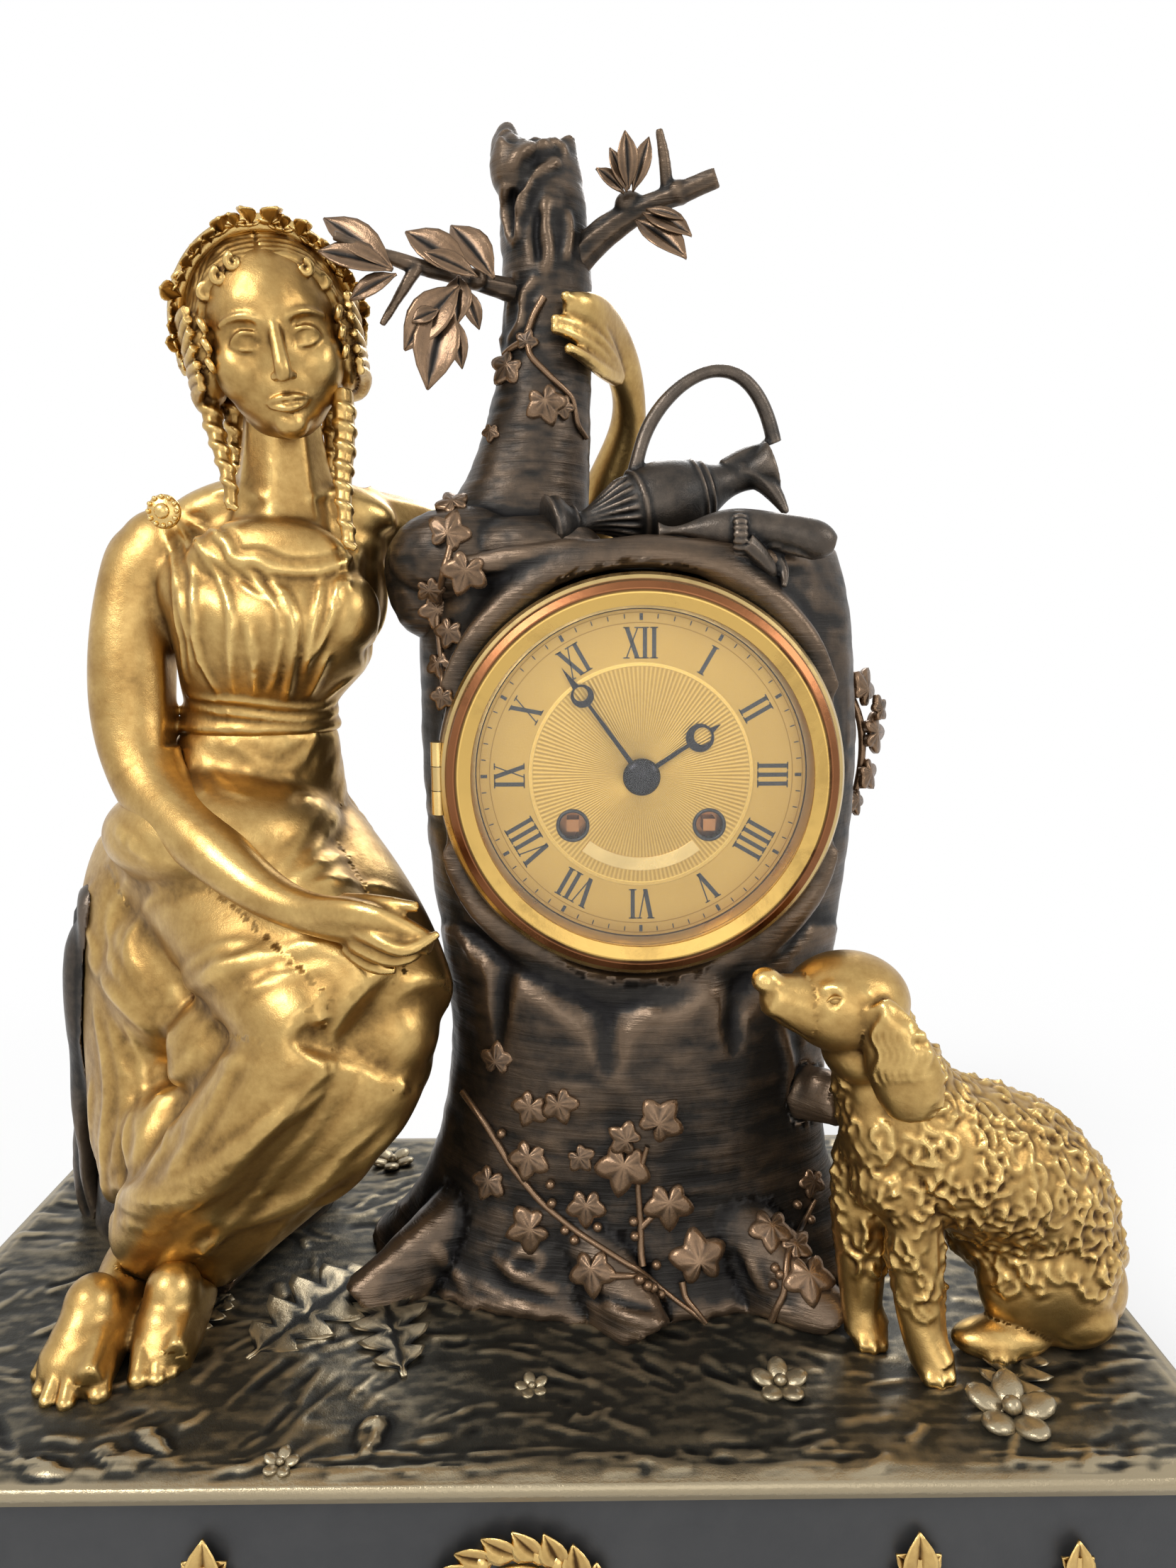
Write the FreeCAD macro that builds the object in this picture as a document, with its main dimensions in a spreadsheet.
import FreeCAD, Part
import math
import os
import re
import Sketcher
from FreeCAD import Placement, Rotation, Vector

# A seated figure, a dog, a hollow tree stump that holds a striking clock, and the plinth they stand on.
# Millimetres, +Z up, +Y to the rear, origin at the middle of the plinth on the surface it stands on.

SIZES = {
    # plinth
    "plate_width": 376.0,
    "plate_depth": 190.0,
    "plate_thickness": 4.0,
    "panel_height": 72.0,
    "panel_thickness": 5.0,
    "panel_inset": 4.0,
    "moulding_overhang": 2.0,
    "moulding_height": 12.0,
    "moulding_chamfer": 5.0,
    "foot_height": 16.0,
    "foot_radius": 14.0,
    "foot_neck_radius": 8.0,
    "foot_pad_radius": 9.0,
    "foot_inset": 24.0,
    "rod_radius": 2.5,
    "rod_clearance": 0.05,
    "nut_radius": 5.0,
    "nut_height": 4.0,
    "mount_relief": 5.0,
    "mount_height": 50.0,
    # sculpture
    "sculpture_module": 100.0,
    "stump_wall": 4.0,
    "casting_gap": 0.3,
    "stud_radius": 2.0,
    "stud_bite": 8.0,
    # dial and doors
    "drum_radius": 51.0,
    "drum_wall": 1.6,
    "drum_clearance": 0.3,
    "drum_depth": 16.0,
    "flange_thickness": 2.0,
    "bezel_radius": 59.7,
    "bezel_depth": 10.0,
    "bezel_rim": 6.3,
    "bezel_lip": 2.2,
    "glass_seat": 3.4,
    "glass_thickness": 1.4,
    "door_gap": 0.25,
    "hinge_pin_radius": 0.9,
    "hinge_knuckle_radius": 2.2,
    "hinge_knuckle_length": 7.0,
    "hinge_fit": 0.06,
    "dial_thickness": 1.2,
    "dial_set_back": 0.8,
    "dial_foot_radius": 1.5,
    "winding_hole_gap": 2.1,
    "rear_door_thickness": 1.6,
    "rear_door_radius": 52.0,
    "rear_ring_width": 12.0,
    "rear_ring_thickness": 2.0,
    # movement
    "motion_gap": 8.0,
    "back_plate_radius": 40.0,
    "movement_plate_thickness": 2.0,
    "movement_width": 30.0,
    "pillar_radius": 2.4,
    "pillar_inset": 5.0,
    "arbor_radius": 1.0,
    "pivot_clearance": 0.05,
    "wheel_thickness": 1.2,
    "pinion_length": 3.2,
    "great_module": 0.53,
    "centre_module": 0.38,
    "third_module": 0.3,
    "strike_module": 0.3,
    "motion_module": 0.4,
    "escape_radius": 8.0,
    "barrel_radius": 16.0,
    "barrel_length": 13.0,
    "winding_arbor_radius": 2.6,
    "ratchet_radius": 6.0,
    "click_length": 8.0,
    "hour_pipe_radius": 3.2,
    "cannon_pipe_radius": 1.8,
    "hand_thickness": 0.6,
    "minute_hand_length": 40.0,
    "hour_hand_length": 28.0,
    "hand_width": 2.2,
    "minute_moon_radius": 3.4,
    "hour_moon_radius": 4.2,
    "cap_radius": 5.6,
    "cap_height": 2.6,
    "pendulum_length": 112.0,
    "pendulum_offset": 8.0,
    "pendulum_rod_radius": 0.9,
    "bob_radius": 13.0,
    "bob_thickness": 7.0,
    "bell_radius": 17.0,
    "bell_wall": 1.2,
    "bell_depth": 9.0,
    "hammer_radius": 3.0,
}

doc = FreeCAD.newDocument("figural_clock")
sheet = doc.addObject("Spreadsheet::Sheet", "sizes")
for row, (alias, number) in enumerate(SIZES.items(), 1):
    sheet.set(f"A{row}", alias)
    sheet.set(f"B{row}", str(number))
    sheet.setAlias(f"B{row}", alias)
doc.recompute()

PERCENT = 0.01
pieces = {}


def size(text):
    """The value of an expression in the sheet's named sizes."""
    return float(sheet.evalExpression(text))


def bound(text):
    """The same expression, as another object of the document has to write it."""
    return re.sub(r"[a-z]+(?:_[a-z]+)*", lambda m: f"sizes.{m.group()}" if m.group() in SIZES else m.group(), text)


def named(label, thing):
    """Registers a finished sub-part under the label that names its file."""
    thing.Label = label
    pieces[label] = thing
    return thing


def feature(label, shape, place=None):
    """A sub-part whose shape is worked out here from the named sizes."""
    thing = doc.addObject("Part::Feature", label)
    thing.Shape = shape
    if place is not None:
        thing.Placement = place
    return named(label, thing)


def primitive(kind, name, place, **texts):
    """A Part primitive whose sizes and place are bound to the sheet."""
    thing = doc.addObject(f"Part::{kind}", name)
    for prop, text in texts.items():
        thing.setExpression(prop, bound(text))
    for axis, text in zip("xyz", place):
        thing.setExpression(f"Placement.Base.{axis}", bound(text))
    return thing


def new_body(name):
    """An empty PartDesign body."""
    return doc.addObject("PartDesign::Body", name)


def origin_plane(body, role):
    """The body's own origin plane with that role."""
    return next(f for f in body.Origin.OriginFeatures if f.Role == role)


def sketch_on(body, name, role):
    """A sketch attached to one of the body's origin planes."""
    sketch = body.newObject("Sketcher::SketchObject", name)
    sketch.AttachmentSupport = (origin_plane(body, role), [""])
    sketch.MapMode = "FlatFace"
    return sketch


def pin_down(sketch, edge, end, texts):
    """Binds both coordinates of a sketch point to expressions."""
    for kind, text, axis in (("DistanceX", texts[0], -2), ("DistanceY", texts[1], -1)):
        if text == "0":
            sketch.addConstraint(Sketcher.Constraint("PointOnObject", edge, end, axis))
        else:
            index = sketch.addConstraint(Sketcher.Constraint(kind, edge, end, size(text)))
            sketch.setExpression(f"Constraints[{index}]", bound(text))


def add_outline(sketch, points):
    """A closed outline of straight lines through points given as expressions."""
    first = sketch.GeometryCount
    count = len(points)
    places = [Vector(size(x), size(y), 0) for x, y in points]
    for i in range(count):
        sketch.addGeometry(Part.LineSegment(places[i], places[(i + 1) % count]))
    for i in range(count):
        sketch.addConstraint(Sketcher.Constraint("Coincident", first + i, 2, first + (i + 1) % count, 1))
        pin_down(sketch, first + i, 1, points[i])


def add_circle(sketch, centre, radius):
    """A circle whose centre and radius are expressions."""
    spot = Vector(size(centre[0]), size(centre[1]), 0)
    edge = sketch.addGeometry(Part.Circle(spot, Vector(0, 0, 1), size(radius)))
    if centre == ("0", "0"):
        sketch.addConstraint(Sketcher.Constraint("Coincident", edge, 3, -1, 1))
    else:
        pin_down(sketch, edge, 3, centre)
    index = sketch.addConstraint(Sketcher.Constraint("Radius", edge, size(radius)))
    sketch.setExpression(f"Constraints[{index}]", bound(radius))


def turned(label, points):
    """A body turned about its own Z axis from an outline of (radius, height) expressions."""
    body = new_body(label)
    sketch = sketch_on(body, f"{label}_profile", "XZ_Plane")
    add_outline(sketch, points)
    turn = body.newObject("PartDesign::Revolution", f"{label}_turn")
    turn.Profile = sketch
    turn.ReferenceAxis = (sketch, ["V_Axis"])
    turn.Angle = 360
    body.Tip = turn
    return named(label, body)


def rectangle(width, depth):
    """The corners of a centred rectangle, as expressions."""
    x, y = f"({width}) / 2", f"({depth}) / 2"
    return [(f"-{x}", f"-{y}"), (x, f"-{y}"), (x, y), (f"-{x}", y)]


def place_at(thing, x, y, z, turn=None):
    """Binds a sub-part's place to expressions, and turns it."""
    thing.Placement = Placement(Vector(size(x), size(y), size(z)), turn or Rotation())
    for axis, text in zip("xyz", (x, y, z)):
        thing.setExpression(f"Placement.Base.{axis}", bound(text))
    return thing


# heights of the plinth, from the ground up
MOULDING_TOP = "foot_height + moulding_height"
PANEL_TOP = f"{MOULDING_TOP} + panel_height"
PLATE_TOP = f"{PANEL_TOP} + plate_thickness"
top_z = size(PLATE_TOP)
overrun = size("plate_thickness")
unit = size("sculpture_module") * PERCENT


def at(x, y, z):
    """A place in the sculpture, in hundredths of the module from the middle of the plate's top."""
    return Vector(x * unit, y * unit, top_z + z * unit)


def box_between(low, high):
    """A box from its lowest to its highest corner."""
    extent = high - low
    return Part.makeBox(extent.x, extent.y, extent.z, low)


def cylinder_y(x, z, radius, start, end):
    """A cylinder along +Y between two depths."""
    return Part.makeCylinder(radius, end - start, Vector(x, start, z), Vector(0, 1, 0))


def build_plinth():
    """Feet, moulding, four panels, relief mounts and the ground plate."""
    foot = turned("foot_pattern", [
        ("0", "0"),
        ("foot_pad_radius", "0"),
        ("foot_radius", "foot_height * 0.35"),
        ("foot_radius", "foot_height * 0.55"),
        ("foot_neck_radius", "foot_height * 0.75"),
        ("foot_radius * 0.8", "foot_height"),
        ("0", "foot_height"),
    ])
    del pieces["foot_pattern"]
    doc.recompute()
    reach_x = size("plate_width / 2 - foot_inset")
    reach_y = size("plate_depth / 2 - foot_inset")
    corners = [Vector(sx * reach_x, sy * reach_y, 0) for sx in (-1, 1) for sy in (-1, 1)]
    rod_hole = Part.makeCylinder(size("rod_radius + rod_clearance"), size(PLATE_TOP))
    blind = rod_hole.translated(Vector(0, 0, size("foot_height / 2")))
    feet = [foot.Shape.cut(blind).translated(corner) for corner in corners]
    feature("plinth_feet", Part.makeCompound(feet))

    width, depth = "plate_width + 2 * moulding_overhang", "plate_depth + 2 * moulding_overhang"
    body = new_body("plinth_base_board")
    sketch = sketch_on(body, "board_outline", "XY_Plane")
    add_outline(sketch, rectangle(width, depth))
    for sx in ("-", ""):
        for sy in ("-", ""):
            x = f"{sx}(plate_width / 2 - foot_inset)"
            y = f"{sy}(plate_depth / 2 - foot_inset)"
            add_circle(sketch, (x, y), "rod_radius + rod_clearance")
    pad = body.newObject("PartDesign::Pad", "board_pad")
    pad.Profile = sketch
    pad.setExpression("Length", bound("moulding_height"))
    doc.recompute()
    half = Vector(size(width) / 2, size(depth) / 2, size("moulding_height"))
    edges = []
    for index, edge in enumerate(pad.Shape.Edges, 1):
        box = edge.BoundBox
        on_top = abs(box.ZMin - half.z) < overrun / 10 and abs(box.ZMax - half.z) < overrun / 10
        outer = max(abs(box.XMin), abs(box.XMax)) > half.x * 0.99 or max(abs(box.YMin), abs(box.YMax)) > half.y * 0.99
        if on_top and outer:
            edges.append(f"Edge{index}")
    chamfer = body.newObject("PartDesign::Chamfer", "board_slope")
    chamfer.Base = (pad, edges)
    chamfer.setExpression("Size", bound("moulding_chamfer"))
    body.Tip = chamfer
    place_at(named("plinth_base_board", body), "0", "0", "foot_height")

    wide = "plate_width - 2 * panel_inset"
    deep = "plate_depth - 2 * panel_inset"
    front = primitive("Box", "plinth_front_panel", (f"-({wide}) / 2", f"-({deep}) / 2", MOULDING_TOP),
                      Length=wide, Width="panel_thickness", Height="panel_height")
    named("plinth_front_panel", front)
    rear = primitive("Box", "plinth_rear_panel", (f"-({wide}) / 2", f"({deep}) / 2 - panel_thickness", MOULDING_TOP),
                     Length=wide, Width="panel_thickness", Height="panel_height")
    named("plinth_rear_panel", rear)
    ends = []
    for label, x in (("left_end", f"-({wide}) / 2"), ("right_end", f"({wide}) / 2 - panel_thickness")):
        ends.append(primitive("Box", label, (x, f"-({deep}) / 2 + panel_thickness", MOULDING_TOP),
                              Length="panel_thickness", Width=f"{deep} - 2 * panel_thickness", Height="panel_height"))
    pair = doc.addObject("Part::Compound", "plinth_end_panels")
    pair.Links = ends
    named("plinth_end_panels", pair)

    # relief mounts: a rosette between two leaf sprays, proud of the front panel
    face_y = -size(f"({deep}) / 2")
    relief, height = size("mount_relief"), size("mount_height")
    middle_z = size(f"{MOULDING_TOP} + panel_height / 2")
    mounts = [cylinder_y(0, middle_z, height / 2, face_y - relief, face_y)]
    for share_x in (-0.381, -0.215, 0.272, 0.381):
        x = share_x * size("plate_width")
        petal = []
        for turn in range(8):
            angle = turn * math.pi / 4
            petal.append(Vector(x + math.cos(angle) * height * 0.42, face_y, middle_z + math.sin(angle) * height * 0.46))
        face = Part.Face(Part.makePolygon(petal + petal[:1]))
        mounts.append(face.extrude(Vector(0, -relief * 0.8, 0)))
    feature("plinth_mounts", Part.makeCompound(mounts))

    # the plate, with a low mound of ground on it and its holes
    plate = primitive("Box", "plate_slab", ("-plate_width / 2", "-plate_depth / 2", PANEL_TOP),
                      Length="plate_width", Width="plate_depth", Height="plate_thickness")
    doc.recompute()
    shape = plate.Shape
    for spot in STUD_PLACES:
        shape = shape.cut(stud_hole(spot))
    for corner in corners:
        shape = shape.cut(rod_hole.translated(Vector(corner.x, corner.y, size(PANEL_TOP) - overrun)))
    feature("ground_plate", shape)

    # tie rods from the feet to the plate, and studs that hold the castings, each with its nut
    screws = []
    for corner in corners:
        rod = Part.makeCylinder(size("rod_radius"), size(f"{PLATE_TOP} - foot_height / 2"),
                                Vector(corner.x, corner.y, size("foot_height / 2")))
        nut = hexagon(size("nut_radius"), size("nut_height"))
        under = Vector(corner.x, corner.y, size(PANEL_TOP) - size("nut_height"))
        screws.append(rod.fuse(nut.translated(under)))
    for spot in STUD_PLACES:
        base = at(spot[0], spot[1], 0)
        base.z = size(PANEL_TOP) - size("nut_height")
        length = size("nut_height + plate_thickness + stud_bite")
        rod = Part.makeCylinder(size("stud_radius"), length, base)
        screws.append(rod.fuse(hexagon(size("nut_radius"), size("nut_height")).translated(base)))
    feature("fixing_screws", Part.makeCompound(screws))


STUD_PLACES = [(-135, 45), (-112, 50), (166, -30), (-42, 20), (103, 20)]


def stud_hole(spot):
    """The hole that one casting stud needs, through the plate and into the casting."""
    base = at(spot[0], spot[1], 0)
    base.z = size(PANEL_TOP) - overrun
    length = size("plate_thickness + stud_bite") + overrun + size("casting_gap")
    return Part.makeCylinder(size("stud_radius + pivot_clearance"), length, base)


def hexagon(radius, height):
    """A hexagonal nut's prism, standing on its own origin."""
    corners = [Vector(radius * math.cos(k * math.pi / 3), radius * math.sin(k * math.pi / 3), 0) for k in range(7)]
    return Part.Face(Part.makePolygon(corners)).extrude(Vector(0, 0, height))


# sculpture: every table holds shares of the module, in hundredths
RING_POINTS = 8


def ring(centre, along, side, wide, deep, power=2.0):
    """A closed smooth section round a centre: wide to the side, deep across it, squarer as power grows."""
    along = Vector(along).normalize()
    side = Vector(side)
    side = (side - along * side.dot(along)).normalize()
    other = along.cross(side)
    points = []
    for k in range(RING_POINTS):
        angle = 2 * math.pi * k / RING_POINTS
        c, s = math.cos(angle), math.sin(angle)
        x = math.copysign(abs(c) ** (2 / power), c) * wide
        y = math.copysign(abs(s) ** (2 / power), s) * deep
        points.append(centre + side * x + other * y)
    curve = Part.BSplineCurve()
    curve.interpolate(Points=points, PeriodicFlag=True)
    return Part.Wire([curve.toShape()])


def column(shares, power=2.0, shrink=0.0):
    """An upright casting through level sections (height, x, y, half width, half depth)."""
    wires = []
    for z, x, y, wide, deep in shares:
        wires.append(ring(at(x, y, z), Vector(0, 0, 1), Vector(1, 0, 0), wide * unit - shrink, deep * unit - shrink, power))
    return Part.makeLoft(wires, True)


def limb(shares, side=Vector(0, 0, 1)):
    """A limb through sections (x, y, z, half width across side, half depth), square to its own run."""
    places = [at(*row[:3]) for row in shares]
    wires = []
    last = len(places) - 1
    across = Vector(side)
    for k, row in enumerate(shares):
        along = (places[min(k + 1, last)] - places[max(k - 1, 0)]).normalize()
        across = (across - along * across.dot(along)).normalize()
        wires.append(ring(places[k], along, across, row[3] * unit, row[4] * unit))
    return Part.makeLoft(wires, True)


def egg(centre, half, turn=None):
    """An ellipsoid from its centre and half sizes, in hundredths of the module."""
    ball = Part.makeSphere(1)
    matrix = FreeCAD.Matrix()
    matrix.scale(half[0] * unit, half[1] * unit, half[2] * unit)
    ball = ball.transformGeometry(matrix)
    ball.Placement = Placement(at(*centre), turn or Rotation())
    return ball


STUMP_SHARES = [
    (0, 30, 20, 86, 52),
    (10, 31, 19, 80, 48),
    (28, 32, 18, 70, 43),
    (55, 34, 17, 63, 40),
    (85, 35, 17, 62, 40),
    (115, 35, 17, 66, 41),
    (170, 35, 17, 70, 42),
    (215, 34, 17, 69, 42),
    (238, 33, 18, 65, 39),
]
LUG_SHARES = [(-42, 20), (103, 20)]
STUB_SHARES = [(80, 8, 62, 8, 8), (90, -6, 64, 7.5, 7.5), (99, -16, 66, 7, 7)]
ROOT_SHARES = [
    [(14, -10, 25, 14, 14), (24, -23, 9, 15, 10), (33, -34, -4, 15, 8)],
    [(62, -8, 25, 14, 14), (76, -20, 9, 15, 10), (90, -30, -4, 15, 8)],
    [(-14, 6, 27, 12, 13), (-34, -7, 10, 13, 10), (-52, -16, -4, 13, 8)],
]
TRUNK_SHARES = [
    (238, -7, 21, 30, 23),
    (248, -5, 21, 25, 21),
    (262, 0, 21, 20, 18),
    (280, 4, 20, 16.5, 16),
    (300, 6.5, 20, 14, 14),
    (335, 6.5, 20, 13.8, 13.5),
    (352, 5.5, 20, 12.5, 12),
    (362, 6, 20, 10, 9),
]
RIGHT_BRANCH_SHARES = [(12, 20, 328, 5, 5), (22, 16, 336, 4.6, 4.6), (32, 10, 340, 4, 4), (46, 5, 342, 3, 3)]
LEFT_BRANCH_SHARES = [(2, 18, 316, 4.4, 4.4), (-7, 12, 318.5, 4, 4), (-20, 0, 319, 3.2, 3.2), (-36, -11, 320, 2.4, 2.4)]
# leaves: centre, half length, half width, half thickness, turn about the vertical, tilt
RIGHT_LEAF_SHARES = [
    ((54, 3, 350), (14, 5, 1.6), -12, -35),
    ((58, 2, 340), (14, 5, 1.6), -6, 5),
    ((50, 3, 330), (13, 5, 1.6), -8, 45),
    ((38, 6, 352), (12, 5, 1.6), 10, -70),
]
LEFT_LEAF_SHARES = [
    ((-46, -14, 327), (14, 5, 1.6), 12, 35),
    ((-47, -14.5, 317), (13, 5, 1.6), 12, -10),
    ((-31, -8, 330), (12, 5, 1.6), 20, 70),
    ((-31, -8, 310), (12, 5, 1.6), 20, -50),
]
# ivy leaves on the stump: across, height, half length, half width
IVY_LEAF_SHARES = [
    (-24, 96, 8, 8), (-18, 112, 9, 9), (-27, 124, 8, 8), (-20, 78, 8, 8), (-25, 64, 8, 8), (-31, 146, 7, 7),
    (24, 88, 9, 8), (44, 80, 9, 8), (66, 88, 9, 8), (8, 74, 8, 8), (84, 96, 8, 8), (56, 64, 8, 8),
    (100, 186, 8, 9), (101, 203, 8, 9),
]
IVY_THICKNESS_SHARE = 2.8
EWER_SHARES = [
    (8.5, -5.2, 244, 8.6, 8.6), (12, -4.6, 244.3, 8, 8), (17, -3.2, 245, 3.6, 3.6), (24, -0.5, 247.5, 5.5, 5.5),
    (34, 2.5, 250, 10.8, 10.8), (45, 5, 252.5, 12.5, 12.5), (54, 6.5, 255.5, 9.6, 9.6), (62, 8, 258.5, 5.6, 5.6),
    (70, 8.5, 261, 5, 5), (77, 9, 263.5, 8.4, 6.6),
]
HANDLE_SHARES = [
    (33, 2, 258, 2.4, 2.4), (38, 3, 274, 2.2, 2.2), (49, 4, 287, 2, 2), (61, 5, 291, 2, 2), (72, 7, 284, 2.2, 2.2),
    (77.5, 8, 270, 2.4, 2.4),
]
TORCH_SHARES = [
    (40, -14, 241.5, 3, 3), (52, -14, 242, 3.4, 3.4), (64, -13.5, 242.5, 5.6, 5.6), (74, -13.5, 242, 5, 5),
    (83, -14, 240, 5.6, 5), (92, -15, 237.5, 2.4, 2),
]
SEAT_SHARES = [
    (0, -121, 46, 44, 40), (30, -120, 45, 40, 38), (70, -117, 43, 35, 35), (100, -112, 40, 32, 32), (122, -108, 38, 30, 28),
]
DRAPE_SHARES = [
    (-134, 34, 134, 10, 18), (-144, 36, 120, 11, 24), (-149, 38, 90, 11, 26), (-153, 46, 45, 11, 26), (-157, 56, 4, 12, 26),
]
LOG_SHARES = [(-104, -14, 7, 8, 8), (-94, 26, 9, 10, 10), (-84, 72, 9, 9, 9)]
THIGH_SHARES = [
    [(-118, 30, 140, 27, 29), (-98, 8, 128, 25, 27), (-74, -22, 109, 20, 22), (-58, -38, 96, 15, 17)],
    [(-88, 32, 142, 26, 28), (-68, 12, 128, 24, 25), (-46, -12, 111, 19, 20), (-34, -26, 99, 14, 15)],
]
SHIN_SHARES = [
    [(-62, -34, 98, 17, 17), (-76, -34, 78, 18, 18), (-98, -28, 50, 17, 17), (-116, -20, 27, 16, 15), (-121, -17, 21, 15, 14)],
    [(-40, -22, 99, 16, 16), (-58, -20, 76, 17, 17), (-84, -14, 46, 16, 16), (-102, -9, 23, 15, 14), (-106, -8, 17, 14, 13)],
]
PELVIS_SHARES = ((-100, 26, 146), (36, 28, 30))
SHOULDER_SHARES = (-113, -51)
SHOULDER_FLOOR_SHARE = 178
LAP_SHARES = [(-104, 24, 138, 34, 32), (-84, 2, 124, 34, 27), (-62, -20, 109, 29, 20), (-46, -32, 98, 20, 15)]
FRONT_FOLD_SHARES = [(-50, -28, 92, 24, 15), (-64, -27, 72, 26, 17), (-90, -21, 46, 25, 17), (-108, -15, 26, 23, 16), (-114, -13, 20, 22, 15)]
SIDE_FOLD_SHARES = [(-128, 32, 140, 20, 26), (-136, 28, 110, 20, 26), (-134, 22, 76, 20, 26), (-130, 12, 46, 19, 24), (-124, 2, 28, 17, 20)]
WAIST_SHARES = [(150, -98, 24, 34, 27), (170, -93, 21, 30, 23), (183, -88, 17, 25, 18)]
BODICE_SHARES = [
    (183, -88, 17, 25, 18), (190, -87, 15, 24.5, 17), (204, -80, 8, 31, 20), (218, -78, 6, 35, 21), (232, -83, 11, 38, 18),
    (242, -84, 15, 33, 14), (249, -78, 13.5, 17, 12.5), (254, -75, 12, 12, 11.5),
]
NECK_SHARES = [(254, -75, 12, 12, 11.5), (262, -75, 10, 10.5, 11), (276, -76, 8, 10.5, 12)]
FACE_SHARES = ((-75, 4, 300), (21, 24, 29))
HAIR_SHARES = ((-79, 11, 305), (25, 25, 28))
CURL_SHARES = [
    [(-98, 2, 292, 5, 5), (-103, 2, 275, 5, 5), (-103, -2, 258, 5, 5), (-98, -8, 244, 4, 4)],
    [(-96, 22, 290, 6, 6), (-98, 26, 270, 6, 6), (-96, 24, 254, 6, 6), (-92, 20, 246, 5, 5)],
    [(-57, 14, 292, 5, 5), (-55, 14, 275, 5, 5), (-55, 10, 258, 5, 5), (-57, 4, 246, 4, 4)],
]
WREATH_SHARES = ((-79, 10, 322), 23, 4.5)
RIGHT_ARM_SHARES = [
    (-112, 13, 240, 12, 11), (-122, 11, 227, 13.4, 12), (-124.5, 7, 204, 13.6, 12), (-123.5, 3, 182, 12.6, 11.4), (-116, -4, 165, 11.4, 10.8),
    (-96, -20, 151, 9.8, 9.4), (-74, -33, 138, 7, 6.6), (-60, -40, 134, 5.6, 6.6), (-44, -48, 133, 4.6, 8.6), (-33, -51, 131, 3.8, 7),
    (-24, -53, 128.5, 2.6, 3.4),
]
LEFT_ARM_SHARES = [
    (-58, 20, 240, 10, 10), (-45, 37, 242, 11.5, 11), (-25, 57, 243, 11, 10.5), (2, 66, 241, 10, 10), (19, 66, 245, 9.5, 9.5),
    (27, 59, 262, 8.6, 8.6), (34, 48, 284, 6, 6), (32, 37, 298, 4.6, 7.4), (27, 25, 305, 3.8, 8.4), (21, 9, 309, 3, 6),
    (13, 2.5, 310.5, 2.2, 3),
]
FOOT_SHARES = [
    [(-127, -8, 14, 8, 10), (-126, -28, 12, 8.5, 9), (-123, -50, 7, 9, 6), (-121, -64, 4.5, 7.5, 3.8)],
    [(-112, -2, 12, 8, 9), (-107, -20, 11, 8.5, 8.5), (-103, -40, 7, 9, 6), (-101, -53, 4.5, 7.5, 3.8)],
]
DOG_BODY_SHARES = [
    (170, -30, 20, 13, 14), (160, -30, 36, 20, 21), (142, -33, 52, 23, 24), (122, -37, 63, 20, 23), (108, -39, 78, 17, 17),
    (102, -40, 92, 13.5, 13),
]
DOG_LEG_SHARES = [
    [(110, -47, 62, 9, 9), (111, -50, 36, 6.8, 6.8), (114, -52, 14, 6.2, 6.2), (117, -55, 4.5, 8, 6)],
    [(100, -35, 62, 8, 8), (98, -36, 36, 6.2, 6.2), (100, -37, 14, 5.8, 5.8), (102, -40, 4.5, 7.5, 6)],
]
DOG_HAUNCH_SHARES = [((154, -43, 24), (21, 10, 23)), ((140, -46, 5.5), (15, 7.5, 6)), ((168, -30, 14), (15, 17, 16))]
DOG_HEAD_SHARES = ((92, -43, 108), (18, 15.5, 14.5))
MUZZLE_SHARES = [(84, -46, 107, 9.5, 9.5), (76, -48, 110, 7.8, 7.4), (68.5, -50, 113, 5.6, 5)]
EAR_SHARES = [
    [(96, -57, 112, 5, 3), (101, -60, 102, 9, 3.6), (105, -60, 90, 10, 4), (107, -58, 80, 6, 3)],
    [(98, -30, 112, 5, 3), (105, -27, 102, 9, 3.6), (110, -27, 90, 9, 4), (112, -29, 82, 5, 3)],
]
DOG_TAIL_SHARES = [(178, -24, 20, 6, 6), (186, -14, 12, 6, 6), (184, -2, 6.5, 5.5, 5.5), (176, 6, 5, 3, 3)]
DRUM_SEAT_SHARE = 2
BOSS_DEPTH_SHARES = (5, 30)


def blade(centre, half, place):
    """A flat leaf with a rounded outline between two points, from its half length, thickness and half width."""
    long, thick, wide = (share * unit for share in half)
    back = Vector(0, -thick, 0)
    ends = [Vector(-long, -thick, 0), Vector(long, -thick, 0)]
    edges = [Part.Arc(ends[0], back + Vector(0, 0, side * wide), ends[1]).toShape() for side in (-1, 1)]
    made = Part.Face(Part.Wire(Part.__sortEdges__(edges))).extrude(Vector(0, 2 * thick, 0))
    made.Placement = Placement(at(*centre), place)
    return made


def leaf(centre, half, turn=0.0, tilt=0.0):
    """A flat leaf, turned about the vertical after a tilt in its own plane."""
    place = Rotation(Vector(0, 0, 1), turn).multiply(Rotation(Vector(0, 1, 0), tilt))
    return blade(centre, (half[0], half[2], half[1]), place)


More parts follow.
